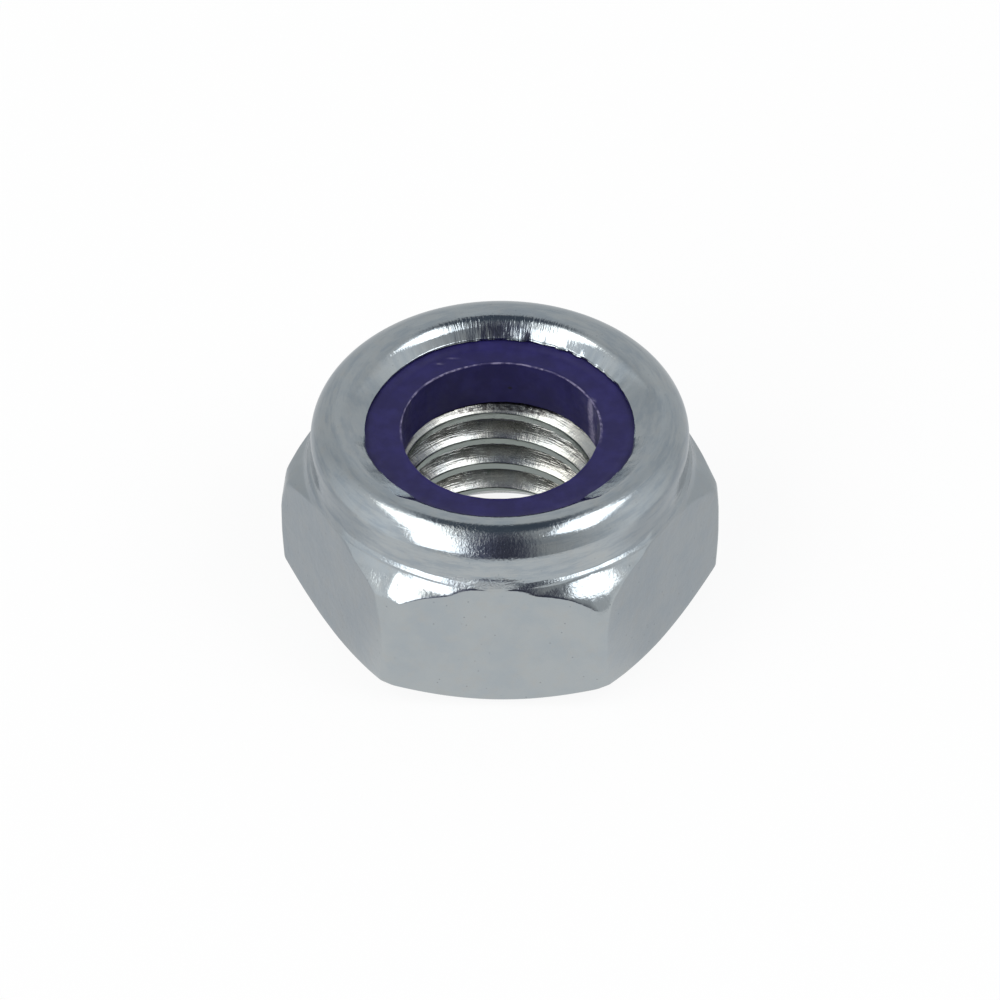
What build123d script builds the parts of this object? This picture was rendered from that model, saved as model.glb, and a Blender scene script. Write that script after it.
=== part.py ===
from build123d import *
from math import radians, sin, sqrt, tan
import os

# Nylon insert lock nut, low style, for an M10 bolt. All lengths are in millimetres.
# The origin is the centre of the bearing face. +Z runs up through the nut to its collar,
# and one flat of the hexagon faces -Y.

# thread, tapped right through below the insert
thread_diameter = 10.0
thread_pitch = 1.5
thread_engagement = 5 / 8  # depth of the 60 degree form, as a share of its sharp height

# hexagon
across_flats = 17.0
corner_radius = 0.33  # on the long edges
blank_inset = 0.01  # how far the round blank lies inside the reach of the corners
shoulder_drop = 5.12  # from the top of the collar down to where the corners start to round in
shoulder_angle = 36.0  # slope that they round to at the foot of the collar, from horizontal

# bearing side
bearing_inset = 0.7  # how far the edge of the bearing face lies inside the flats
bearing_angle = 33.0  # chamfer on the corners, from horizontal
entry_diameter = 10.8
entry_angle = 90.0  # included angle of the countersink

# collar and rolled lip
nut_height = 9.85
collar_inset = 0.1  # how far the collar's wall stands inside the flats
collar_thickness = 1.4  # from its wall in to the pocket
foot_fillet = 0.7  # hollow between the collar and the shoulder
roll_radius = 1.6  # from the collar's wall inwards
roll_turn = 48.0  # how far it turns before it tightens
crown_radius = 1.0  # from there over the top
lip_slope = 45.0  # fall of the lip inside the crown, from horizontal
lip_reach = 2.4  # from the collar's wall in to the edge of the lip

# pocket for the insert
pocket_cover = 1.05  # from the top of the insert up to the top of the collar
mouth_chamfer = 0.2  # where the tapped hole opens into the pocket

# moulded insert
insert_thickness = 2.3
insert_bore = 9.0
insert_shoulder = 0.6  # outer top edge, pressed off by the lip
insert_edge = 0.08  # broken edge at the top of its hole
insert_clearance = 0.02  # all round, between the insert and the pocket

# worked out from the sizes above
thread_depth = thread_pitch * sqrt(3) / 2 * thread_engagement
minor_radius = thread_diameter / 2 - thread_depth
corner_reach = across_flats / sqrt(3) - (2 / sqrt(3) - 1) * corner_radius
blank_radius = corner_reach - blank_inset
collar_radius = across_flats / 2 - collar_inset
lip_radius = collar_radius - lip_reach
pocket_radius = collar_radius - collar_thickness
bearing_radius = across_flats / 2 - bearing_inset
entry_depth = (entry_diameter / 2 - minor_radius) / tan(radians(entry_angle / 2))
bearing_rise = (blank_radius - bearing_radius) * tan(radians(bearing_angle))
shoulder_start = nut_height - shoulder_drop
shoulder_radius = (blank_radius - collar_radius) / (1 - sin(radians(shoulder_angle))) - foot_fillet
wall_top = nut_height - crown_radius - (roll_radius - crown_radius) * sin(radians(roll_turn))
insert_top = nut_height - pocket_cover
pocket_floor = insert_top - insert_thickness
insert_radius = pocket_radius - insert_clearance
lip_underside = insert_top + insert_clearance


with BuildPart() as nut_body:
    # the whole section is turned first, and then cut to a hexagon
    with BuildSketch(Plane.XZ):
        with BuildLine():
            bearing_side = Polyline(
                (minor_radius, pocket_floor - mouth_chamfer),
                (minor_radius, entry_depth),
                (entry_diameter / 2, 0),
                (bearing_radius, 0),
                (blank_radius, bearing_rise),
                (blank_radius, shoulder_start),
            )
            shoulder = JernArc(bearing_side @ 1, (0, 1), shoulder_radius, 90 - shoulder_angle)
            foot = JernArc(shoulder @ 1, shoulder % 1, foot_fillet, shoulder_angle - 90)
            wall = Line(foot @ 1, (collar_radius, wall_top))
            roll = JernArc(wall @ 1, wall % 1, roll_radius, roll_turn)
            crown = JernArc(roll @ 1, roll % 1, crown_radius, 90 - roll_turn + lip_slope)
            lip_run = (crown @ 1).X - lip_radius
            lip = Line(crown @ 1, crown @ 1 - Vector(lip_run, lip_run * tan(radians(lip_slope))))
            Polyline(
                lip @ 1,
                (lip_radius, lip_underside),
                (pocket_radius - insert_shoulder, lip_underside),
                (pocket_radius, lip_underside - insert_shoulder),
                (pocket_radius, pocket_floor),
                (minor_radius + mouth_chamfer, pocket_floor),
                bearing_side @ 0,
            )
        make_face()
    revolve(axis=Axis.Z)
    with BuildSketch() as hexagon:
        RegularPolygon(across_flats / 2, 6, major_radius=False)
        fillet(hexagon.vertices(), corner_radius)
    extrude(amount=nut_height, mode=Mode.INTERSECT)
nut_body.part.label = "nut_body"

with BuildPart() as nylon_insert:
    with BuildSketch(Plane.XZ) as insert_section:
        with Locations((insert_bore / 2, pocket_floor)):
            Rectangle(insert_radius - insert_bore / 2, insert_thickness, align=(Align.MIN, Align.MIN))
        top_corners = insert_section.vertices().group_by(Axis.Y)[-1].sort_by(Axis.X)
        chamfer(top_corners[-1], insert_shoulder)
        chamfer(top_corners[0], insert_edge)
    revolve(axis=Axis.Z)
nylon_insert.part.label = "nylon_insert"

os.makedirs("parts", exist_ok=True)
export_step(nut_body.part, "parts/nut_body.step")
export_step(nylon_insert.part, "parts/nylon_insert.step")
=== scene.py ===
import math
import random

import bpy
import numpy as np
from mathutils import Matrix, Vector


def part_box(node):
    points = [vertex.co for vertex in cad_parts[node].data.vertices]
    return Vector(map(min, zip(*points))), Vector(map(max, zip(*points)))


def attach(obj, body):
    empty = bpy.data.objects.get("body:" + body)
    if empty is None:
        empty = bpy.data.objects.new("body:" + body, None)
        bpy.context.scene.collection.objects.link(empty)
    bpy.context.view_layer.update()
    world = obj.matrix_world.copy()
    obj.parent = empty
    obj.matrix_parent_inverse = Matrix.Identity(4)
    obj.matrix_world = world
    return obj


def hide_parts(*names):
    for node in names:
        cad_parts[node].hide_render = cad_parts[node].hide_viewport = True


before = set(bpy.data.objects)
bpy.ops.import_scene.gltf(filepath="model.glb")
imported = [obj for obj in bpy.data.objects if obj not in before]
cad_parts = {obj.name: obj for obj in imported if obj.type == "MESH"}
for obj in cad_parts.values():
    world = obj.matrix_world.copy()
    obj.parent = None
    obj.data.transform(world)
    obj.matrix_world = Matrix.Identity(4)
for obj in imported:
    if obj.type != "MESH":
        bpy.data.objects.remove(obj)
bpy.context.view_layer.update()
scene = bpy.context.scene
mm = 0.001
print("frame loaded")


# small tools

def fromHex(text):
    # sRGB hex to the linear colour that the shaders want
    parts = [int(text[i:i + 2], 16) / 255 for i in (1, 3, 5)]
    return [c / 12.92 if c <= 0.04045 else ((c + 0.055) / 1.055) ** 2.4 for c in parts] + [1.0]


def addNode(tree, kind, links=(), output=0, **settings):
    # links: sockets or plain values, in the order of the inputs, or by input name or number;
    # gives back one output of the node, or the node itself where it has none
    node = tree.nodes.new("ShaderNode" + kind)
    for key, value in settings.items():
        setattr(node, key, value)
    for key, value in links.items() if isinstance(links, dict) else enumerate(links):
        if isinstance(value, bpy.types.NodeSocket):
            tree.links.new(value, node.inputs[key])
        else:
            node.inputs[key].default_value = value
    return node.outputs[output] if len(node.outputs) else node


def newMaterial(name):
    material = bpy.data.materials.new(name)
    material.use_nodes = True
    material.node_tree.nodes.clear()
    return material, material.node_tree


def wobble(angles, seed, lowest, highest, size, fall=0.5):
    # uneven but closed round the ring: a sum of whole waves, about +-size
    dice = random.Random(seed)
    total = np.zeros_like(angles)
    power = 0.0
    for waves in range(lowest, highest + 1):
        weight = dice.uniform(0.4, 1.0) / waves ** fall
        total += weight * np.cos(waves * angles + dice.uniform(0, 2 * math.pi))
        power += weight ** 2
    return total * size / math.sqrt(power)


def bumpAt(angles, centre, width):
    # 1 at an azimuth in degrees, falling off on both sides
    away = (np.degrees(angles) - centre + 180) % 360 - 180
    return np.exp(-(away / width) ** 2)


def eased(value, low=0, high=1):
    # 0 below the range and 1 above it, with a smooth run between
    share = np.clip((value - low) / (high - low), 0, 1)
    return share * share * (3 - 2 * share)


def spread(low, high, shares):
    return [low + (high - low) * share for share in shares]


def smoothMin(a, b, blend):
    # the lesser of two radii, with the edge between them rounded over
    mix = np.maximum(blend - np.abs(a - b), 0) / blend
    return np.minimum(a, b) - mix * mix * blend / 4


def smoothMax(a, b, blend):
    return -smoothMin(-a, -b, blend)


def arcPoints(place, start, end, bend, steps):
    # points (radius, height) along an arc, between two angles of the surface's normal in degrees
    radius, height = place
    turns = np.radians(np.linspace(start, end, steps + 1))
    points = []
    for a0, a1 in zip(turns[:-1], turns[1:]):
        radius += bend * (math.cos(a1) - math.cos(a0))
        height += bend * (math.sin(a1) - math.sin(a0))
        points.append((radius, height))
    return points


weldStep = 0.0004  # mm; points closer than this become one
sharpAngle = 38  # degrees


def ringMesh(name, angles, section, shift, materials):
    # section: rows of (radius, height, material number), closed; radius and height are plain numbers
    # or vary with the azimuth. Doubled points are welded and empty faces dropped.
    columns = np.zeros((len(angles), len(section), 3))
    for j, (radius, height, kind) in enumerate(section):
        moved = shift(radius, height)
        columns[:, j, 0] = radius * np.cos(angles) + moved[0]
        columns[:, j, 1] = radius * np.sin(angles) + moved[1]
        columns[:, j, 2] = height
    count, rows = columns.shape[0] - 1, columns.shape[1]
    points = columns.reshape(-1, 3)
    keys = np.round(points / weldStep).astype(np.int64)
    kept, index = np.unique(keys, axis=0, return_inverse=True)[:2]
    index = index.reshape(-1)
    places = np.zeros((len(kept), 3))
    places[index] = points
    index = index.reshape(count + 1, rows)
    faces, slots = [], []
    for i in range(count):
        for j in range(rows):
            k = (j + 1) % rows
            corners = [index[i, j], index[i, k], index[i + 1, k], index[i + 1, j]]
            loop = [c for n, c in enumerate(corners) if c != corners[n - 1]]
            if len(set(loop)) == len(loop) and len(loop) > 2:
                faces.append([int(c) for c in loop])
                slots.append(section[j][2])
    mesh = bpy.data.meshes.new(name)
    mesh.from_pydata((places * mm).tolist(), [], faces)
    for material in materials:
        mesh.materials.append(material)
    mesh.polygons.foreach_set("material_index", slots)
    mesh.polygons.foreach_set("use_smooth", [True] * len(faces))
    mesh.set_sharp_from_angle(angle=math.radians(sharpAngle))
    mesh.validate()
    mesh.update()
    piece = bpy.data.objects.new(name, mesh)
    scene.collection.objects.link(piece)
    print(name, "has", sum(len(p.vertices) - 2 for p in mesh.polygons), "triangles")
    return piece


# materials
# pattern sizes are in millimetres; ranges are given as from, to, and the values there
smooth = {"interpolation_type": "SMOOTHSTEP"}
micrometre = 1e-6  # unit of the bump heights


def sharedCoordinates(tree):
    # object place in millimetres, the direction outwards from the nut's axis, radius and height
    place = addNode(tree, "TexCoord", output="Object")
    inMm = addNode(tree, "VectorMath", {0: place, "Scale": 1 / mm}, operation="SCALE")
    flat = addNode(tree, "VectorMath", (inMm, (1, 1, 0)), operation="MULTIPLY")
    outward = addNode(tree, "VectorMath", (flat,), operation="NORMALIZE")
    radius = addNode(tree, "VectorMath", (flat,), "Value", operation="LENGTH")
    height = addNode(tree, "SeparateXYZ", (inMm,), "Z")
    return inMm, outward, radius, height


def raised(tree, reliefs):
    # adds up reliefs, each a pattern and its height, into one bump
    total = 0.0
    for pattern, depth in reliefs:
        total = addNode(tree, "Math", (pattern, depth, total), operation="MULTIPLY_ADD")
    return addNode(tree, "Bump", {"Height": total, "Distance": micrometre, "Strength": 1.0})


zinc = {
    "pale": "#ACB2B5",  # blue-white passivate over bright zinc
    "cool": "#9FA9B1",  # where the passivate film is thicker
    "warm": "#AFAFAC",  # faint straw tint where it is thinner
    "streak": "#8F9AA4",  # rolled film, thicker in bands that run round the collar
    "pit": "#6E7478",  # pinholes and specks left in the plating
    "tapped": "#BDBDB8",  # thinner film in the thread, where the bath reached last
    "crest": "#959D97",  # the thread's crests, greener and duller than the flanks
    "insertShade": "#4A4848",  # painted shade: dark where the thread runs out under the insert, in the nylon's shadow
}

plating = {  # what all the plated faces share
    "patterns": {  # size, detail and roughness
        "cloud": (1.818, 4, 0.6),
        "blotch": (0.5882, 3, 0.6),
        "peel": (0.4545, 2, 0.5),
        "rub": (1.111, 3, 0.6),
        "ragged": (0.2, 3, 0.7),
    },
    "cloudCool": (0.35, 0.7, 0.0, 0.5),
    "blotchWarm": (0.45, 0.8, 0.0, 0.35),
    "specks": 0.4762,  # apart
    "speckEdge": (0.035, 0.1),
    "grain": (3, 0.65),  # detail and roughness; its size is each face's own
    "lines": {"Scale": 1.0, "Detail": 2, "Roughness": 0.6},
    "creaseGap": 0.1,  # creases that run up the section, this far apart round the ring
    "creaseRadius": 7.0,  # at this radius
    "creaseLength": 0.5,
    "toolGap": 0.07143,  # lines that run round
    "toolDrift": 3.36,  # over this length of the collar they wander
    "rubRange": (0.35, 0.7),
    "rubSpread": (0.8, 1.35),  # of the roughness
}

roller = {  # what the roller left on the collar
    "radius": 8.4,  # where its lengths are measured
    "bandLength": 1.8667,  # bands in the film, longer round the collar than across it
    "bandHeight": 0.3846,
    "bandWidth": 0.2941,
    "band": {"Scale": 1.0, "Detail": 4, "Roughness": 0.65},
    "bandShare": (0.4, 0.68, 0.0, 0.55),
    "pressedWay": (-0.05, -1, 0),  # where it pressed hardest, at the front of the crown
    "pressed": (0.968, 0.996),
    "pressedGrain": 2.5,
    "foot": (7.38, 7.55, 3.0, 1.0),  # rougher at the foot of the collar
    "creasedBack": (-0.97, -0.8, 1.0, 0.0),
    "creasedInner": (7.0, 7.5, 1.0, 0.0),
    "leastCreases": 2.0,
    # one thin line that slants across the left of the front highlight
    "lineSlant": (-0.0676, 0, 1),
    "lineHeight": 9.572,
    "line": (0.0, 0.03, -4.0, 0.0),
    "lineDepth": (-6.9, -6.5, 1.0, 0.0),
    "lineRadius": (7.8, 7.9, 0.0, 1.0),
}

tap = {  # where the tapped thread changes, and where painted shade darkens it under the insert
    "crest": (4.2, 4.25, 0.8, 0.0),
    "insertShadeHeight": (6.1, 6.14, 0.0, 1.0),
    "insertShadeRadius": (4.27, 4.34, 0.0, 1.0),
    "insertShadeRagged": (0.4, 0.62, 0.95, 0.3),
    "insertShadeBack": (0.8, 0.95, 0.2, 1.0),
}


def platedSteel(name, base, grain, grainSize, peel, streaks, rings, roughness, specks, rolled=False):
    # zinc-plated steel, electroplated over the formed surface: a bright metal, softly mottled by its
    # passivate film, with reflections that stay sharp but have grainy edges
    # grain, peel, streaks (creases up the section) and rings (lines round it) are bump heights
    material, tree = newMaterial(name)
    inMm, outward, radius, height = sharedCoordinates(tree)
    patterns = {}
    for key, (size, detail, rough) in {**plating["patterns"], "fine": (grainSize, *plating["grain"])}.items():
        links = {"Vector": inMm, "Scale": 1 / size, "Detail": detail, "Roughness": rough}
        patterns[key] = addNode(tree, "TexNoise", links)

    tints = [("cool", addNode(tree, "MapRange", (patterns["cloud"], *plating["cloudCool"]), **smooth)),
             ("warm", addNode(tree, "MapRange", (patterns["blotch"], *plating["blotchWarm"]), **smooth))]
    if rolled:
        around = roller["radius"] / roller["bandLength"]
        run = addNode(tree, "VectorMath", {0: outward, "Scale": around}, operation="SCALE")
        inwards = addNode(tree, "Math", (radius, -1 / roller["bandWidth"]), operation="MULTIPLY")
        climb = addNode(tree, "Math", (height, 1 / roller["bandHeight"], inwards), operation="MULTIPLY_ADD")
        banded = addNode(tree, "VectorMath", (run, addNode(tree, "CombineXYZ", {"Z": climb})))
        bands = addNode(tree, "TexNoise", {"Vector": banded, **roller["band"]})
        tints.append(("streak", addNode(tree, "MapRange", (bands, *roller["bandShare"]), **smooth)))
    if base == "tapped":
        tints.append(("crest", addNode(tree, "MapRange", (radius, *tap["crest"]), **smooth)))
        # painted shade: the top turn of the thread darkens under the nylon insert, most at the back, broken
        # up by noise
        back = addNode(tree, "SeparateXYZ", (outward,), "Y")
        insertShaded = 1.0
        for value, key in ((height, "insertShadeHeight"), (radius, "insertShadeRadius"),
                           (patterns["ragged"], "insertShadeRagged"), (back, "insertShadeBack")):
            part = addNode(tree, "MapRange", (value, *tap[key]), **smooth)
            insertShaded = addNode(tree, "Math", (part, insertShaded), operation="MULTIPLY")
        tints.append(("insertShade", insertShaded))
    cells = addNode(tree, "TexVoronoi", {"Vector": inMm, "Scale": 1 / plating["specks"]}, "Distance")
    tints.append(("pit", addNode(tree, "MapRange", (cells, *plating["speckEdge"], specks, 0), **smooth)))
    colour = fromHex(zinc[base])
    for tint, share in tints:
        colour = addNode(tree, "Mix", {0: share, 6: colour, 7: fromHex(zinc[tint])}, 2, data_type="RGBA")

    if rolled:
        ahead = addNode(tree, "VectorMath", (outward, roller["pressedWay"]), "Value", operation="DOT_PRODUCT")
        low = addNode(tree, "MapRange", (height, *roller["foot"]), **smooth)
        pressed = (ahead, *roller["pressed"], grain, grain * roller["pressedGrain"])
        coarse = addNode(tree, "MapRange", pressed, **smooth)
        grain = addNode(tree, "Math", (coarse, low), operation="MULTIPLY")
        back = addNode(tree, "MapRange", (ahead, *roller["creasedBack"]), **smooth)
        inner = addNode(tree, "MapRange", (radius, *roller["creasedInner"]), **smooth)
        both = addNode(tree, "Math", (back, inner), operation="MULTIPLY")
        streaks = addNode(tree, "Math", (both, streaks, roller["leastCreases"]), operation="MULTIPLY_ADD")
    reliefs = [(patterns["fine"], grain), (patterns["peel"], peel)]
    if streaks:
        around = plating["creaseRadius"] / plating["creaseGap"]
        run = addNode(tree, "VectorMath", {0: outward, "Scale": around}, operation="SCALE")
        along = addNode(tree, "Math", (radius, 1 / plating["creaseLength"]), operation="MULTIPLY")
        creased = addNode(tree, "VectorMath", (run, addNode(tree, "CombineXYZ", {"Z": along})))
        reliefs.append((addNode(tree, "TexNoise", {"Vector": creased, **plating["lines"]}), streaks))
    section = addNode(tree, "CombineXYZ", {"X": radius, "Y": height})
    drift = roller["radius"] / plating["toolDrift"]
    slow = addNode(tree, "VectorMath", {0: outward, "Scale": drift}, operation="SCALE")
    perLine = [1 / plating["toolGap"]] * 3
    turned = addNode(tree, "VectorMath", (section, perLine, slow), operation="MULTIPLY_ADD")
    reliefs.append((addNode(tree, "TexNoise", {"Vector": turned, **plating["lines"]}), rings))
    if rolled:
        slant = addNode(tree, "VectorMath", (inMm, roller["lineSlant"]), "Value", operation="DOT_PRODUCT")
        above = addNode(tree, "Math", (slant, roller["lineHeight"]), operation="SUBTRACT")
        off = addNode(tree, "Math", (above,), operation="ABSOLUTE")
        depth = addNode(tree, "SeparateXYZ", (inMm,), "Y")
        line = 1.0
        for value, key in ((off, "line"), (depth, "lineDepth"), (radius, "lineRadius")):
            part = addNode(tree, "MapRange", (value, *roller[key]), **smooth)
            line = addNode(tree, "Math", (part, line), operation="MULTIPLY")
        reliefs.append((line, 1.0))

    least, most = (roughness * part for part in plating["rubSpread"])
    polish = addNode(tree, "MapRange", (patterns["rub"], *plating["rubRange"], least, most), **smooth)
    shader = addNode(tree, "BsdfPrincipled", {
        "Base Color": colour, "Metallic": 1.0, "Roughness": polish, "Normal": raised(tree, reliefs)})
    addNode(tree, "OutputMaterial", {"Surface": shader})
    return material


indigo = {
    "body": "#201C4D",  # polyamide 6, moulded, dark indigo
    "rubbed": "#2A2660",  # where handling has polished it
    "nick": "#0B0912",
    "flash": "#8D87A6",  # thin flash and scuffs: a painted highlight along the flash at the back of the hole, a painted reflection on the inner wall at the right, and pale scuffs
    "roughness": 0.42,
    "roughnessSpread": (-0.06, 0.08),
    "ior": 1.53,
    "sheen": 0.23,  # specular level, low because the mould was bead blasted
    "patterns": {  # size, detail and roughness
        "cloud": (1.111, 5, 0.62),
        "flash": (0.4167, 3, 0.7),
        "scuff": (0.14286, 3, 0.7),
        "nick": (0.1111, 3, 0.7),
        "fine": (0.07143, 3, 0.6),
        "wave": (0.625, 2, 0.5),
        "gloss": (0.4, 3, 0.6),
    },
    "cloudRubbed": (0.38, 0.66, 0, 0.7),
    # the painted highlight on the flash follows the hole, which is drawn in at the left
    "leftWay": (-1, -0.07, 0),
    "drawnIn": (0.72, 1.0, 0.0, 0.16),
    "flashRadius": (4.53, 4.61, 1.0, 0.0),
    "flashHeight": (8.72, 8.76, 0.0, 1.0),
    "flashBack": (-1.2, 0.6, 0.0, 1.0),
    "flashBroken": (0.4, 0.62, 0.12, 1.0),
    "scuffBroken": (0.35, 0.65, 0.2, 1.0),
    "mostWhite": 0.85,
    "nickPlace": ((0.34, 4.48, 7.34), (0.17, 0.3, 0.13)),  # in the back of the hole; centre, half lengths
    "nickRagged": 0.9,
    "nickEdge": (0.7, 1.2, 0.85, 0.0),
    "fineHeight": 2.0,
    "waveHeight": 10.0,
    "glossRange": (0.3, 0.7),
}

nylonReflectionAndScuffs = (  # pale marks: a painted reflection on the inner wall at the right, and scuffs; centre, half lengths and strength; millimetres
    ((3.98, 2.08, 8.1), (0.4, 0.36, 1.2), 2.4),  # inner wall, right: painted reflection
    ((4.02, 1.85, 7.0), (0.36, 0.6, 1.0), 1.5),
    ((-2.8, 4.42, 8.77), (0.35, 0.12, 0.1), 0.35),  # rubbed streak on the top, back left
    ((-2.2, 4.8, 8.77), (0.45, 0.1, 0.1), 0.3),
)


def mouldedNylon(name):
    # moulded polyamide: an even dark indigo with a low waxy sheen and faint flow marks
    material, tree = newMaterial(name)
    inMm, outward, radius, height = sharedCoordinates(tree)
    patterns = {}
    for key, (size, detail, rough) in indigo["patterns"].items():
        links = {"Vector": inMm, "Scale": 1 / size, "Detail": detail, "Roughness": rough}
        patterns[key] = addNode(tree, "TexNoise", links)

    def awayFrom(centre, halfLengths):
        # 0 in the middle of a mark and 1 at its edge
        shifted = addNode(tree, "VectorMath", (inMm, centre), operation="SUBTRACT")
        scaled = addNode(tree, "VectorMath", (shifted, halfLengths), operation="DIVIDE")
        return addNode(tree, "VectorMath", (scaled,), "Value", operation="LENGTH")

    # painted highlight along the back of the hole's upper edge, where the flash catches the light, broken up
    # by noise
    left = addNode(tree, "VectorMath", (outward, indigo["leftWay"]), "Value", operation="DOT_PRODUCT")
    drawnIn = addNode(tree, "MapRange", (left, *indigo["drawnIn"]), **smooth)
    fromHole = addNode(tree, "Math", (radius, drawnIn), operation="ADD")
    depth = addNode(tree, "SeparateXYZ", (inMm,), "Y")
    paintedSheenAndScuffs = 1.0
    for value, key in ((fromHole, "flashRadius"), (height, "flashHeight"), (depth, "flashBack"),
                       (patterns["flash"], "flashBroken")):
        part = addNode(tree, "MapRange", (value, *indigo[key]), **smooth)
        paintedSheenAndScuffs = addNode(tree, "Math", (part, paintedSheenAndScuffs), operation="MULTIPLY")
    grainy = addNode(tree, "MapRange", (patterns["scuff"], *indigo["scuffBroken"]), **smooth)
    # pale marks: a painted reflection on the inner wall at the right, and scuffs on the top
    for centre, halfLengths, strength in nylonReflectionAndScuffs:
        near = addNode(tree, "MapRange", (awayFrom(centre, halfLengths), 0.0, 1.0, strength, 0.0), **smooth)
        mark = addNode(tree, "Math", (near, grainy), operation="MULTIPLY")
        paintedSheenAndScuffs = addNode(tree, "Math", (paintedSheenAndScuffs, mark), operation="MAXIMUM")
    paintedSheenAndScuffs = addNode(tree, "Math", (paintedSheenAndScuffs, indigo["mostWhite"]), operation="MINIMUM")
    nickEdge = addNode(tree, "Math", (patterns["nick"], indigo["nickRagged"], awayFrom(*indigo["nickPlace"])),
                       operation="MULTIPLY_ADD")
    rubbed = addNode(tree, "MapRange", (patterns["cloud"], *indigo["cloudRubbed"]), **smooth)
    nick = addNode(tree, "MapRange", (nickEdge, *indigo["nickEdge"]), **smooth)
    colour = fromHex(indigo["body"])
    for tint, share in (("rubbed", rubbed), ("flash", paintedSheenAndScuffs), ("nick", nick)):
        colour = addNode(tree, "Mix", {0: share, 6: colour, 7: fromHex(indigo[tint])}, 2, data_type="RGBA")
    reliefs = ((patterns["fine"], indigo["fineHeight"]), (patterns["wave"], indigo["waveHeight"]))
    least, most = (indigo["roughness"] + part for part in indigo["roughnessSpread"])
    gloss = addNode(tree, "MapRange", (patterns["gloss"], *indigo["glossRange"], least, most), **smooth)
    shader = addNode(tree, "BsdfPrincipled", {
        "Base Color": colour, "Roughness": gloss, "IOR": indigo["ior"],
        "Specular IOR Level": indigo["sheen"], "Normal": raised(tree, reliefs)})
    addNode(tree, "OutputMaterial", {"Surface": shader})
    return material


# nut body: one ring of sections, from the top of the thread down, out and up to the lip and back

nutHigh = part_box("nut_body")[1]
insertLow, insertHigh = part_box("nylon_insert")
forgedFace, rolledFace, tappedFace = range(3)  # material slots

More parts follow.
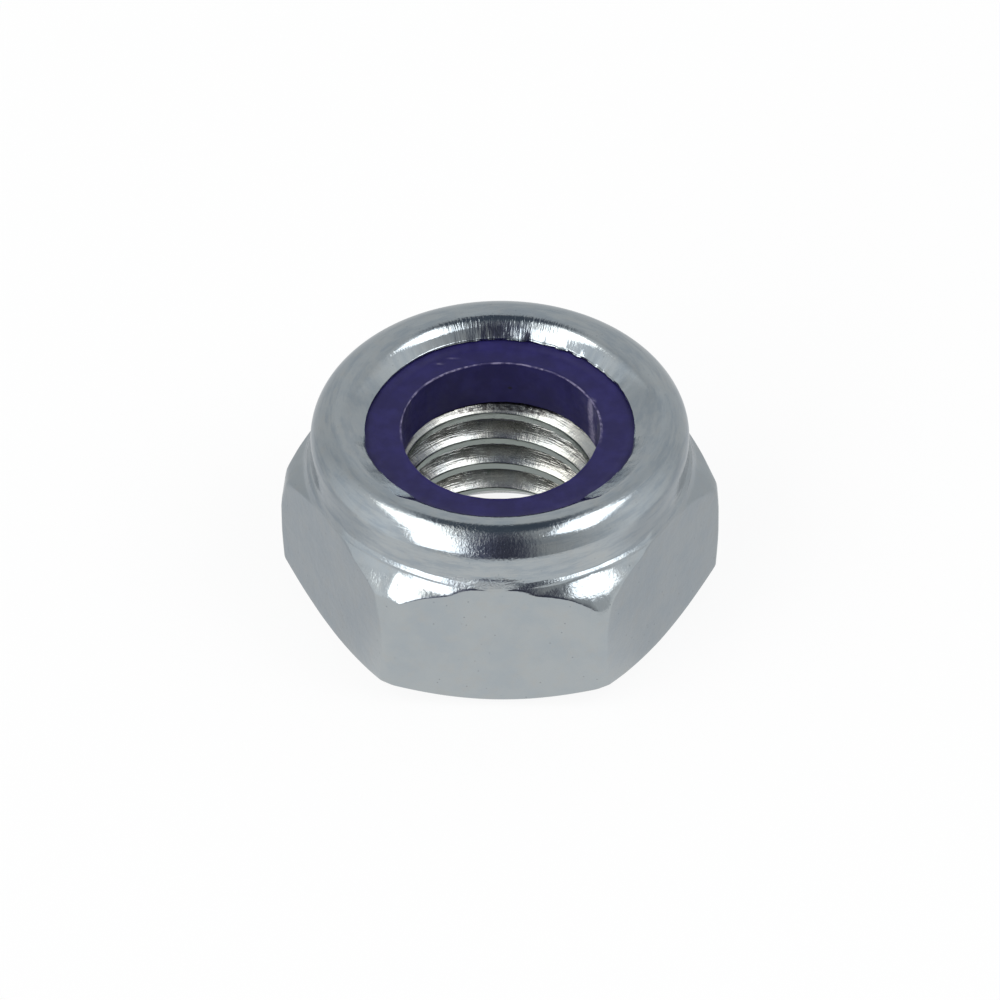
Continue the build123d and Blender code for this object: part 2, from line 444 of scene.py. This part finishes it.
nut = {  # millimetres and degrees; a wobble is seed, fewest and most waves, size and fall
    "columns": 500,
    "crowding": (2.2, 2.4),  # how much closer they stand at a long edge, and over how many degrees

    "pitch": 1.5,
    "minorRadius": 4.19,
    "majorRadius": 5.0,
    "crestWidth": 0.35,
    "crestAtBack": 5.752,  # lower edge of the top crest, on the +Y side
    "crestRounding": 0.12,  # shares of the thread's depth
    "rootRounding": 0.25,
    "flankMeeting": 0.05,
    "crestRows": (0.0, 0.025, 0.06, 0.175, 0.29, 0.325, 0.35),
    "flankRows": (0.06, 0.3, 0.6, 0.88),  # shares of a flank
    "rootRow": 0.07,  # either side of the root's middle
    "turns": range(1, -6, -1),  # in pitches from the top crest, downwards
    "entryRadius": 5.62,  # countersink at the bearing face
    "entrySlope": 1.0,
    "entryRounding": 0.04,

    "bearingRows": (5.66, 6.4, 7.3),
    "bearingRadius": 7.83,
    "bearingShift": (0.08, -0.04),  # the face was chamfered a little off centre
    "bearingEdge": ((0.1, 0.0), (0.02, 0.006)),  # rounding of its edge: how far in, and height
    "bearingSlope": 33.0,
    "chamferRounding": 0.16,

    "apothem": nutHigh.y / mm,
    "flatInset": 0.012,  # room for the wobble inside the reach of the flats
    "flatWobble": (11, 3, 40, 0.004),
    "leanGap": 0.004,
    "leanRounding": 0.05,
    "lowLean": (3.0, 0.07),  # the edges lean in below this height, by this much per mm
    "coneRadius": 8.55,  # where the heights of the turned cone are given
    "coneMid": (6.81, 0.79),  # its height and its fall per mm, over the middle of a flat
    "coneBlend": 0.05,  # rounding between the cone and the middle of a flat
    "ridge": (8.9, 0.015, 0.16),  # radius, bluntness and reach of the long edge's ridge through the cone
    "stepMid": (6.84, 6.88, 7.55, 7.80),  # crease, strip, ledge and wall over the middle of a flat
    "stepRadii": (8.55, 8.53, 8.41),
    "stripMid": 8.497,  # the strip's radius over the middle of a flat
    "riser": (0.4, 0.04),  # slope and rounding where the cone meets the crease
    "ledgeDip": 0.16,  # how far the ledge sinks between a flat's middle and a corner
    "leastLedge": 0.05,
    "leastStep": 0.012,
    "creaseWobble": (5, 3, 30, 0.008),
    "ledgeWobble": (7, 5, 60, 0.012, 0.3),
    # degrees from a flat's middle over which these change towards the corner
    "coneTurns": (12, 24),
    "blendTurns": (20, 30),
    "ledgeTurns": (3, 10),
    "stripTurns": (4, 13),

    "collarRadius": 8.385,
    "collarShift": (0.02, -0.015),  # the collar is rolled a little off the hexagon's centre
    "shiftRise": (7.3, 1.2),  # from this height, over this much
    "shiftOutside": 5.7,  # the thread is not shifted
    "top": nutHigh.z / mm - 0.005,
    "crown": ((0, 24, 1.43), (24, 48, 1.48), (48, 70, 1.41), (70, 90, 0.64)),  # from, to, bend radius
    "crownStep": 4,
    # inner half of the crown: steps, then end angle and bend radius at the sides, at the back, in front
    # and between the sides and the front
    "innerCrown": (
        (4, (102, 0.35), (102, 2.6), (102, 1.4), (98, 0.35)),
        (3, (112, 0.5), (112, 0.8), (112, 0.6), (104, 0.5)),
        (3, (120, 0.5), (122, 0.8), (122, 0.7), (109, 0.5)),
        (3, (122, 0.5), (132, 1.2), (132, 1.0), (112, 0.5)),
        (3, (123, 0.5), (141, 0.8), (141, 0.8), (114, 0.5)),
    ),
    # azimuths of the back and the front of the lip; ranges are of the cosine of the angle from there
    "backAt": 97,
    "backRange": (-0.1, 0.65),
    "frontAt": 271,
    "frontRange": (0.76, 0.86),
    "betweenRange": (0.10, 0.38),
    "liftRange": (0.48, 0.72),
    "liftMore": 0.65,  # share by which the lift grows over that range

    "lipRadius": 5.985,
    "lipReach": 0.11,  # how much further in the lip reaches at the back
    "lipHeight": 9.09,
    "lipLifted": 0.21,  # how much higher its edge stays between the sides and the front
    "lipDrawnBack": 0.18,  # and how much further out
    "lipFront": 0.12,  # and how much further out again in front
    "lipUnder": 8.85,
    "lipSqueeze": 0.11,  # how much higher the nylon is squeezed against it at the back
    "lipRows": (0.2, 0.45, 0.7, 0.9, 1.0),
    "lipWobble": (21, 2, 9, 0.012),
    "raggedWobble": (31, 12, 90, 0.014, 0.2),
    "raggedShare": (0.3, 2.0),  # of that, everywhere and more where the lip is torn
    "torn": (62, 34),  # azimuth and width
    "tongue": ((68, 14), 0.03, 0.02),  # azimuth and width, how far out and how far up
    "notch": ((120, 22), 0.045),
    "burr": 0.06,
    "burrWobble": (41, 9, 60, 0.7, 0.2),
    "burrRange": (0.5, 0, 1.2),  # middle, least and most
    "underRows": ((6.3, 8.87), (6.6, 8.7), (6.9, 8.3), (7.0, 8.18)),  # hidden; radius and height
    "pocketRadius": 7.0,
    "pocketFloor": insertLow.z / mm,
    "floorRow": 6.0,
}

corners = {  # each long edge by its azimuth, because the forging die left them all a little different:
    # rounding of the edge; where it starts to lean in and how fast; the turned cone over it (height
    # and fall per mm) and the rounding under that; heights of crease, strip, ledge and wall; how
    # sharply the edge shows in the cone, in degrees
    0: (0.38, 4.30, 0.085, 6.84, 0.95, 0.34, 7.06, 7.20, 7.32, 7.70, 5),
    60: (0.38, 4.30, 0.13, 6.92, 0.90, 0.30, 7.06, 7.20, 7.32, 7.65, 5),
    120: (0.38, 4.30, 0.13, 6.92, 0.90, 0.30, 7.06, 7.20, 7.32, 7.65, 5),
    180: (0.36, 4.20, 0.150, 6.84, 0.83, 0.39, 7.10, 7.22, 7.38, 7.66, 5),
    240: (0.45, 4.15, 0.168, 7.02, 0.92, 0.15, 7.12, 7.22, 7.38, 7.74, 15),
    300: (0.36, 4.60, 0.14, 7.03, 0.967, 0.45, 7.02, 7.17, 7.25, 7.74, 2),
}

bodyRows = {  # heights up the hexagon, as shares of a stretch or in millimetres from where it turns
    "chamfer": (0.25, 0.5, 0.72),
    "lowTurn": (-0.12, -0.06, -0.02, 0.02, 0.06, 0.12),
    "flat": (0.06, 0.16, 0.28, 0.4, 0.52, 0.62, 0.72, 0.82, 0.9, 0.96),
    "highTurn": (-0.18, -0.11, -0.06, -0.02, 0.02, 0.06),
    "steps": ((0.12, 0.25, 0.38, 0.5, 0.62, 0.74, 0.86, 0.95, 1.0), (0.12, 0.5, 0.9, 1.0),
              (0.12, 0.35, 0.65, 0.9, 1.0), (0.1, 0.25, 0.45, 0.7, 1.0)),
    "wall": (0.25, 0.5, 0.75),
    "first": 0.02,
    "flatEnds": (0.12, 0.2),  # how far the rows of the flat stay from both turns
}


def columnAngles(count):
    # azimuths that crowd together at the six long edges
    more, width = nut["crowding"]
    fine = np.linspace(0, 2 * math.pi, 14401)
    toEdge = (np.degrees(fine) + 30) % 60 - 30
    density = 1 + more * np.exp(-(toEdge / width) ** 2)
    run = np.concatenate([[0], np.cumsum((density[1:] + density[:-1]) / 2)])
    angles = np.interp(np.linspace(0, run[-1], count + 1), run, fine)
    angles[-1] = 2 * math.pi
    return angles


def fromCorners(angles, column):
    # a value of the table, eased from each long edge to the next
    values = np.array([row[column] for row in corners.values()])
    turn = np.degrees(angles) / 60
    edge = np.floor(turn).astype(int)
    mix = eased(turn - edge)
    return values[edge % 6] * (1 - mix) + values[(edge + 1) % 6] * mix


def backShare(angles):
    # 1 round the back, where the lip reaches furthest in
    return eased(np.cos(angles - math.radians(nut["backAt"])), *nut["backRange"])


def hexRadius(angles):
    # reach of a hexagon with rounded corners, flats facing +-Y
    a = nut["apothem"]
    degrees = np.degrees(angles)
    corner = np.round(degrees / 60).astype(int) % 6
    away = np.radians(degrees - 60 * np.round(degrees / 60))
    rounds = np.array([row[0] for row in corners.values()])[corner]
    centre = (a - rounds) / math.cos(math.radians(30))
    onFlat = a / np.cos(math.radians(30) - np.abs(away))
    inside = np.maximum(rounds ** 2 - (centre * np.sin(away)) ** 2, 0)
    onCorner = centre * np.cos(away) + np.sqrt(inside)
    touch = np.radians(30) - np.arctan(centre * math.sin(math.radians(30)) / a)
    return np.where(np.abs(away) < touch, onCorner, onFlat)


threadDepth = nut["majorRadius"] - nut["minorRadius"]
threadFlank = threadDepth * math.tan(math.radians(30))


def threadClimb(angles):
    return nut["pitch"] * (angles - math.pi / 2) / (2 * math.pi)


def threadRadius(angles, height):
    # sixty degree thread, right-handed, with slightly rounded crests and roots
    p = nut["pitch"]
    along = (height - nut["crestAtBack"] - threadClimb(angles)) % p
    up, down = (along - nut["crestWidth"]) / threadFlank, (p - along) / threadFlank
    rise = smoothMin(up, down, nut["flankMeeting"])
    rise = smoothMin(smoothMax(rise, 0, nut["crestRounding"]), 1, nut["rootRounding"])
    return nut["minorRadius"] + threadDepth * rise


def threadRows(angles):
    # from the pocket floor down; rows climb with the helix and are held at both ends
    p = nut["pitch"]
    rootMiddle = (nut["crestWidth"] + p) / 2
    steps = list(nut["crestRows"])
    steps += [nut["crestWidth"] + threadFlank * share for share in nut["flankRows"]]
    steps += [rootMiddle - nut["rootRow"], rootMiddle + nut["rootRow"]]
    steps += [p - threadFlank * share for share in reversed(nut["flankRows"])]
    rows = []
    for turn in nut["turns"]:
        for step in reversed(steps):
            height = nut["crestAtBack"] + turn * p + step + threadClimb(angles)
            height = np.clip(height, 0, nut["pocketFloor"])
            cone = nut["entryRadius"] - nut["entrySlope"] * height
            cut = smoothMax(threadRadius(angles, height), cone, nut["entryRounding"])
            rows.append((np.where(height <= 0, nut["entryRadius"], cut), height, tappedFace))
    return rows


def hexagonRows(wrapped, wallTop):
    # bearing face, chamfer, hexagon, the cone over its corners and the stepped foot of the collar
    shiftX, shiftY = nut["bearingShift"]
    bearing = nut["bearingRadius"] + shiftX * np.cos(wrapped) + shiftY * np.sin(wrapped)
    slope = math.tan(math.radians(nut["bearingSlope"]))
    rows = [(radius, 0.0, forgedFace) for radius in nut["bearingRows"]]
    rows += [(bearing - inwards, height, forgedFace) for inwards, height in nut["bearingEdge"]]

    hexagon = hexRadius(wrapped) - nut["flatInset"] + wobble(wrapped, *nut["flatWobble"])
    rounds, leanStart, leanSlope, coneHigh, coneFall, knee = (fromCorners(wrapped, i) for i in range(6))
    reachOut = (nut["apothem"] - rounds) / math.cos(math.radians(30)) + rounds
    fromMiddle = np.abs((np.degrees(wrapped) + 60) % 60 - 30)  # degrees from the middle of a flat
    overCorner = eased(fromMiddle, *nut["coneTurns"])
    coneHigh = nut["coneMid"][0] + (coneHigh - nut["coneMid"][0]) * overCorner
    coneFall = nut["coneMid"][1] + (coneFall - nut["coneMid"][1]) * overCorner
    blend = nut["coneBlend"] + (knee - nut["coneBlend"]) * eased(fromMiddle, *nut["blendTurns"])
    stepped = 1 - (1 - fromMiddle / 30) ** 2
    fast = eased(fromMiddle, *nut["ledgeTurns"])
    crease, strip, ledge, wall = (
        middle + (fromCorners(wrapped, 6 + i) - middle) * (stepped, stepped, fast, fast)[i]
        for i, middle in enumerate(nut["stepMid"]))
    ledge = np.maximum(ledge - nut["ledgeDip"] * (1 - stepped) * fast, strip + nut["leastLedge"])
    crease = crease + wobble(wrapped, *nut["creaseWobble"])
    ledge = ledge + wobble(wrapped, *nut["ledgeWobble"])
    creaseR, stripR, ledgeR = nut["stepRadii"]
    stripR = nut["stripMid"] + (stripR - nut["stripMid"]) * eased(fromMiddle, *nut["stripTurns"])
    # the hexagon's long edge still shows as a blunt ridge through the cone
    ridgeRadius, blunt, fade = nut["ridge"]
    off = np.sqrt(np.radians(30 - fromMiddle) ** 2 + blunt ** 2) - blunt
    ridge = ridgeRadius * np.tan(np.radians(fromCorners(wrapped, 10))) * off * np.exp(-off / fade)

    def forged(height):
        # hexagon whose long edges lean in towards both ends
        leaning = reachOut + nut["leanGap"] - leanSlope * np.maximum(height - leanStart, 0)
        lowStart, lowSlope = nut["lowLean"]
        leaning = leaning - lowSlope * np.maximum(lowStart - height, 0)
        return smoothMin(hexagon, leaning, nut["leanRounding"])

    def turned(height):
        # cone over the corners, then the stepped foot of the collar
        cone = nut["coneRadius"] + (coneHigh - height) / coneFall - ridge
        riserSlope, riserRounding = nut["riser"]
        below = smoothMax(cone, creaseR + (crease - height) * riserSlope, riserRounding)
        onStrip = creaseR + (stripR - creaseR) * (height - crease) / (strip - crease)
        onLedge = stripR + (ledgeR - stripR) * (height - strip) / (ledge - strip)
        hollow = nut["collarRadius"] + (ledgeR - nut["collarRadius"]) * (
            1 - np.clip((height - ledge) / (wall - ledge), 0, 1)) ** 2
        reach = np.where(height > crease, onStrip, below)
        reach = np.where(height > strip, onLedge, reach)
        return np.where(height > ledge, hollow, reach)

    def outline(height):
        lower = smoothMin(bearing + height / slope, forged(height), nut["chamferRounding"])
        return smoothMin(lower, turned(height), blend)

    # heights at which the chamfer and the cone meet the hexagon, the second found by halving
    lowTurn = (hexagon - bearing) * slope
    highTurn, over = np.full_like(wrapped, 5.0), wall
    for _ in range(24):
        middle = (highTurn + over) / 2
        inside = forged(middle) < turned(middle)
        highTurn = np.where(inside, middle, highTurn)
        over = np.where(inside, over, middle)
    fromLow, fromHigh = bodyRows["flatEnds"]
    heights = [np.full_like(wrapped, bodyRows["first"])]
    heights += spread(bodyRows["first"], lowTurn - fromLow, bodyRows["chamfer"])
    heights += [lowTurn + shift for shift in bodyRows["lowTurn"]]
    heights += spread(lowTurn + fromLow, highTurn - fromHigh, bodyRows["flat"])
    heights += [highTurn + shift for shift in bodyRows["highTurn"]]
    rows += [(outline(height), height, forgedFace) for height in heights]
    low = heights[-1]
    for stop, shares in zip((crease, strip, ledge, wall), bodyRows["steps"]):
        high = np.maximum(stop, low + nut["leastStep"])
        face = forgedFace if stop is crease else rolledFace
        rows += [(outline(height), height, face) for height in spread(low, high, shares)]
        low = high
    rows += [(outline(height), height, rolledFace) for height in spread(low, wallTop, bodyRows["wall"])]
    return rows


def crownRows(wallTop, shares):
    # rolled collar and crown: arcs between angles of the surface's normal, each with its own radius
    points = [(nut["collarRadius"], wallTop)]
    for start, end, bend in nut["crown"]:
        points += arcPoints(points[-1], start, end, bend, max(2, round((end - start) / nut["crownStep"])))
    profiles = []
    for side in range(len(shares)):
        profile, reached = [points[-1]], 90
        for steps, *arcs in nut["innerCrown"]:
            end, bend = arcs[side]
            profile += arcPoints(profile[-1], reached, end, bend, steps)
            reached = end
        profiles.append(profile[1:])
    for places in zip(*profiles):
        points.append([sum(share * place[axis] for share, place in zip(shares, places)) for axis in (0, 1)])
    return [(radius, height, rolledFace) for radius, height in points]


def lipRows(wrapped, start, atBack, atFront, lifted):
    # the lip from where the crown ends, its ragged edge and its underside, then the pocket
    uneven = wobble(wrapped, *nut["lipWobble"])
    torn = bumpAt(wrapped, *nut["torn"])
    least, more = nut["raggedShare"]
    ragged = wobble(wrapped, *nut["raggedWobble"]) * (least + more * torn)
    tongueAt, tongueOut, tongueUp = nut["tongue"]
    tongue = bumpAt(wrapped, *tongueAt)
    notchAt, notchOut = nut["notch"]
    endR = nut["lipRadius"] - nut["lipReach"] * atBack + uneven + ragged + tongueOut * tongue
    endR = endR + notchOut * bumpAt(wrapped, *notchAt)
    endR = endR + nut["lipDrawnBack"] * lifted + nut["lipFront"] * atFront
    endZ = nut["lipHeight"] + tongueUp * tongue + nut["lipLifted"] * lifted
    points = list(zip(spread(start[0], endR, nut["lipRows"]), spread(start[1], endZ, nut["lipRows"])))
    deep = endZ - nut["lipUnder"] - nut["lipSqueeze"] * atBack
    middle, lowest, highest = nut["burrRange"]
    burr = nut["burr"] * torn * np.clip(middle + wobble(wrapped, *nut["burrWobble"]), lowest, highest)
    edge = ((-0.012, 0.06), (0.0, 0.22), (0.01, 0.5), (-burr, 0.72), (0.01, 0.9), (0.05, 1.0))
    points += [(endR + outwards, endZ - deep * down) for outwards, down in edge]
    points += [*nut["underRows"], (nut["pocketRadius"], nut["pocketFloor"])]
    return [(*point, rolledFace) for point in points] + [(nut["floorRow"], nut["pocketFloor"], tappedFace)]


def collarShift(radius, height):
    start, over = nut["shiftRise"]
    share = np.clip((height - start) / over, 0, 1) * (radius > nut["shiftOutside"])
    return [part * share for part in nut["collarShift"]]


def buildNut(materials):
    angles = columnAngles(nut["columns"])
    wrapped = angles % (2 * math.pi)
    wallTop = nut["top"] - sum(bend * (math.sin(math.radians(end)) - math.sin(math.radians(start)))
                               for start, end, bend in nut["crown"])
    atBack = backShare(wrapped)
    ahead = np.cos(wrapped - math.radians(nut["frontAt"]))
    atFront = eased(ahead, *nut["frontRange"])
    between = eased(ahead, *nut["betweenRange"]) * (1 - atFront)
    lifted = (between + atFront) * (1 + nut["liftMore"] * eased(ahead, *nut["liftRange"]))
    section = threadRows(angles) + hexagonRows(wrapped, wallTop)
    section += crownRows(wallTop, (1 - atBack - atFront - between, atBack, atFront, between))
    section += lipRows(wrapped, section[-1][:2], atBack, atFront, lifted)
    return ringMesh("nutBody", angles, section, collarShift, materials)


insert = {  # millimetres
    "columns": 360,
    "bore": 4.494,
    "boreWobbles": ((61, 3, 18, 0.010), (63, 20, 70, 0.004, 0.2)),
    # drawn in at the left, and a little at the right front: azimuth and width, how far
    "drawnIn": (((184, 32), 0.17), ((338, 18), 0.09)),
    "boreRows": (7.2, 8.0, 8.5, 8.705),
    "top": 8.765,
    "dip": (0.2, 0.004),  # a shade lower just outside the flash
    "topRows": (4.95, 5.4),
    "edge": 5.86,  # where the top meets the lip
    "edgeBack": 0.1,  # how much further in at the back
    "edgeWobble": (71, 2, 7, 0.015),
    "rim": 0.06,  # how far it is squeezed up there
    "rimRows": ((-0.3, 0.12), (-0.2, 0.4), (-0.1, 0.75), (0.0, 0.96), (0.08, 1.0), (0.2, 0.9)),
    "outer": insertHigh.x / mm,
    "outerRows": ((6.3, 8.78), (6.6, 8.5)),  # under the lip
    "shoulder": 8.0,
    "floor": insertLow.z / mm,
    "flash": 0.032,  # height of the thin moulding flash round the back of the hole
    "flashWobble": (51, 3, 60, 0.6, 0.2),
    "flashShares": (0.4, 0.6, 0.6),  # everywhere, by the wobble, and towards the back
    "flashBack": (-0.7, 0.3),
    "leastFlash": 0.003,
    "flashRows": ((0.004, 0.3), (0.02, 0.85), (0.04, 1.0), (0.07, 0.5), (0.1, 0.0)),
}


def buildInsert(material):
    angles = np.linspace(0, 2 * math.pi, insert["columns"] + 1)
    wrapped = angles % (2 * math.pi)
    most = insert["flashWobble"][3]
    uneven = np.clip(wobble(wrapped, *insert["flashWobble"]), -most, most)
    least, byWobble, byBack = insert["flashShares"]
    towardsBack = eased(np.sin(wrapped), *insert["flashBack"])
    flash = insert["flash"] * (least + uneven * byWobble + byBack * towardsBack)
    flash = np.maximum(flash, insert["leastFlash"])
    hole = insert["bore"] + sum(wobble(wrapped, *values) for values in insert["boreWobbles"])
    hole = hole - sum(size * bumpAt(wrapped, *place) for place, size in insert["drawnIn"])
    top = insert["top"]
    atBack = backShare(wrapped)
    rim = insert["rim"] + nut["lipSqueeze"] * atBack
    edge = insert["edge"] - insert["edgeBack"] * atBack + wobble(wrapped, *insert["edgeWobble"])
    dipOut, dipDown = insert["dip"]
    points = [(hole, height) for height in (insert["floor"], *insert["boreRows"])]
    points += [(hole + outwards, top + flash * share) for outwards, share in insert["flashRows"]]
    points += [(hole + dipOut, top - dipDown)] + [(radius, top) for radius in insert["topRows"]]
    points += [(edge + outwards, top + rim * share) for outwards, share in insert["rimRows"]]
    points += [*insert["outerRows"], *((insert["outer"], insert[key]) for key in ("shoulder", "floor"))]
    section = [(*point, 0) for point in reversed(points)]
    return ringMesh("nylonInsert", angles, section, lambda radius, height: (0, 0), [material])


forgedZinc = platedSteel("zincOnForgedSteel", base="pale", grain=8.0, grainSize=0.12, peel=14.0,
                         streaks=0, rings=2.0, roughness=0.13, specks=0.5)
rolledZinc = platedSteel("zincOnRolledCollar", base="pale", grain=5.0, grainSize=0.12, peel=6.0,
                         streaks=12.0, rings=3.0, roughness=0.08, specks=0.3, rolled=True)
tappedZinc = platedSteel("zincOnTappedThread", base="tapped", grain=3.5, grainSize=0.1, peel=12.0,
                         streaks=6.0, rings=11.0, roughness=0.2, specks=0.4)
nylon = mouldedNylon("mouldedNylon")
print("materials made")

nutBody = buildNut([forgedZinc, rolledZinc, tappedZinc])
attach(nutBody, "root")
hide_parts("nut_body")

nylonInsert = buildInsert(nylon)
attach(nylonInsert, "root")
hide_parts("nylon_insert")
print("pieces built")


# floor, studio and camera

studio = {
    "floorWhite": "#F7F7F7",
    "floorGlow": 0.9,  # share of the floor that shows at plain white, the rest takes the shadow
    "floorRadius": 2.0,
    "floorHeight": -0.01 * mm,  # just clear of the bearing face
    "plateRadius": 28 * mm,  # the part of the floor that the metal mirrors
    "plateHeight": -0.02 * mm,
    "plateAhead": "#F6F6F5",
    "plateBeside": "#D4D6D8",
    "plateFade": (-9.5, -4.0, 1.0, 0.0),  # by depth in mm, from the one to the other
    "distance": 1.0,
}
plainWhite = (1, 1, 1, 1)


def floorMaterial():
    # matt white acrylic, lit evenly
    material, tree = newMaterial("whiteAcrylic")
    matt = addNode(tree, "BsdfDiffuse", {"Color": fromHex(studio["floorWhite"])})
    glow = addNode(tree, "Emission", {"Color": plainWhite, "Strength": 1.0})
    rays = addNode(tree, "LightPath").node.outputs
    seen = addNode(tree, "Math", (rays["Is Camera Ray"], rays["Is Glossy Ray"]), operation="MAXIMUM")
    seen = addNode(tree, "Math", (seen, rays["Is Transmission Ray"]), operation="MAXIMUM")
    share = addNode(tree, "Math", (seen, studio["floorGlow"]), operation="MULTIPLY")
    mixed = addNode(tree, "MixShader", (share, matt, glow))
    addNode(tree, "OutputMaterial", {"Surface": mixed})
    return material


def plateMaterial():
    # what the metal mirrors: bright in front of the nut, greyer beside and behind it
    material, tree = newMaterial("mirroredFloor")
    depth = addNode(tree, "SeparateXYZ", (sharedCoordinates(tree)[0],), "Y")
    ahead = addNode(tree, "MapRange", (depth, *studio["plateFade"]), **smooth)
    beside, front = (fromHex(studio[key]) for key in ("plateBeside", "plateAhead"))
    tone = addNode(tree, "Mix", {0: ahead, 6: beside, 7: front}, 2, data_type="RGBA")
    glow = addNode(tree, "Emission", {"Color": tone, "Strength": 1.0})
    addNode(tree, "OutputMaterial", {"Surface": glow})
    return material


def disc(name, radius, height, material, sides=96):
    mesh = bpy.data.meshes.new(name)
    ring = [(radius * math.cos(2 * math.pi * i / sides), radius * math.sin(2 * math.pi * i / sides), height)
            for i in range(sides)]
    mesh.from_pydata(ring, [], [list(range(sides))])
    mesh.materials.append(material)
    piece = bpy.data.objects.new(name, mesh)
    scene.collection.objects.link(piece)
    return piece


floor = disc("floor", studio["floorRadius"], studio["floorHeight"], floorMaterial())
floor.visible_glossy = False
plate = disc("floorPlate", studio["plateRadius"], studio["plateHeight"], plateMaterial())
plate.visible_camera = False
plate.visible_diffuse = False
plate.visible_shadow = False

cameraSetup = {
    "elevation": 42.047,
    "azimuth": 1.890,  # towards +X from the -Y side
    "roll": -0.413,
    "distance": 0.5,
    "aim": (-0.0712 * mm, 2.3081 * mm, 2.5604 * mm),
    "lens": 402.17,
    "sensor": 36,
    "clip": (0.01, 10),
}


def towards(azimuth, elevation):
    # unit vector; azimuth 0 is the camera's side, positive to its right
    a = math.radians(azimuth + cameraSetup["azimuth"])
    e = math.radians(elevation)
    return Vector((math.sin(a) * math.cos(e), -math.cos(a) * math.cos(e), math.sin(e)))


def facing(place, away, twist):
    # stands at a place and looks back along a direction, turned about it by degrees
    turn = away.to_track_quat("Z", "Y").to_matrix().to_4x4()
    return Matrix.Translation(place) @ turn @ Matrix.Rotation(math.radians(twist), 4, "Z")


softboxes = {  # azimuth, elevation, width, height as seen from 1 m, twist, radiance, tint
    "leftLow": (-36.0, 13.0, 0.50, 0.91, 9.0, 2.6, "#FFFFFF"),
    "leftHigh": (-60.0, 48.7, 0.48, 0.69, 47.0, 2.4, "#FFFCF5"),
    "rightHigh": (64.4, 50.0, 0.46, 0.67, -56.5, 2.6, "#FFFFFF"),
}


def addSoftbox(name, azimuth, elevation, width, height, twist, radiance, tint):
    away = towards(azimuth, elevation)
    reach = studio["distance"]
    lamp = bpy.data.lights.new(name, "AREA")
    lamp.shape = "RECTANGLE"
    lamp.size = width * reach
    lamp.size_y = height * reach
    lamp.energy = radiance * math.pi * lamp.size * lamp.size_y
    lamp.color = fromHex(tint)[:3]
    holder = bpy.data.objects.new(name, lamp)
    holder.matrix_world = facing(away * reach, away, twist)
    holder.visible_camera = False
    scene.collection.objects.link(holder)


for name, values in softboxes.items():
    addSoftbox(name, *values)


walls = {  # brightness of the room at eye level by azimuth, 1 being plain white
    -180: 0.71, -120: 0.61, -95: 0.88, -65: 1.1, -45: 0.85, -24: 0.55, -14: 0.22, 0: 0.06,
    12: 0.10, 24: 0.42, 48: 0.63, 78: 0.97, 96: 0.84, 118: 0.65, 180: 0.71,
}
wallTint = {"pale": (0.97, 0.99, 1.0), "dark": (0.86, 0.88, 1.25), "below": 0.3}  # the dark end is bluish
ceiling = {"colour": (0.095, 0.115, 0.145, 1), "from": 64.0, "to": 76.0}  # dim overhead; degrees up


def buildWorld():
    # pale walls, a dim ceiling and the dark end of the room behind the camera
    world = bpy.data.worlds.new("studioRoom")
    world.use_nodes = True
    scene.world = world
    tree = world.node_tree
    tree.nodes.clear()
    way = addNode(tree, "TexCoord", output="Generated")
    height = addNode(tree, "SeparateXYZ", (way,), "Z")
    ahead, right = (addNode(tree, "VectorMath", (way, towards(azimuth, 0)), "Value", operation="DOT_PRODUCT")
                    for azimuth in (0, 90))
    azimuth = addNode(tree, "Math", (right, ahead), operation="ARCTAN2")
    turn = addNode(tree, "Math", (azimuth, 0.5 / math.pi, 0.5), operation="MULTIPLY_ADD")
    wallTone = addNode(tree, "ValToRGB", (turn,))
    stops = wallTone.node.color_ramp.elements
    while len(stops) < len(walls):
        stops.new(0.5)
    for stop, (angle, level) in zip(stops, walls.items()):
        stop.position = angle / 360 + 0.5
        tint = wallTint["dark"] if level < wallTint["below"] else wallTint["pale"]
        stop.color = [level * part for part in tint] + [1]
    low, high = (math.sin(math.radians(ceiling[k])) for k in ("from", "to"))
    overhead = addNode(tree, "MapRange", (height, low, high, 0.0, 1.0), **smooth)
    colour = addNode(tree, "Mix", {0: overhead, 6: wallTone, 7: ceiling["colour"]}, 2, data_type="RGBA")
    room = addNode(tree, "Background", {"Color": colour, "Strength": 1.0})
    blank = addNode(tree, "Background", {"Color": plainWhite, "Strength": 1.0})
    seen = addNode(tree, "LightPath", output="Is Camera Ray")
    addNode(tree, "OutputWorld", {"Surface": addNode(tree, "MixShader", (seen, room, blank))})


buildWorld()
print("studio lit")


def addCamera():
    lens = bpy.data.cameras.new("camera")
    lens.lens = cameraSetup["lens"]
    lens.sensor_width = cameraSetup["sensor"]
    lens.clip_start, lens.clip_end = cameraSetup["clip"]
    holder = bpy.data.objects.new("camera", lens)
    back = towards(0, cameraSetup["elevation"])
    place = Vector(cameraSetup["aim"]) + back * cameraSetup["distance"]
    holder.matrix_world = facing(place, back, cameraSetup["roll"])
    scene.collection.objects.link(holder)
    scene.camera = holder


addCamera()
scene.view_settings.view_transform = "Standard"
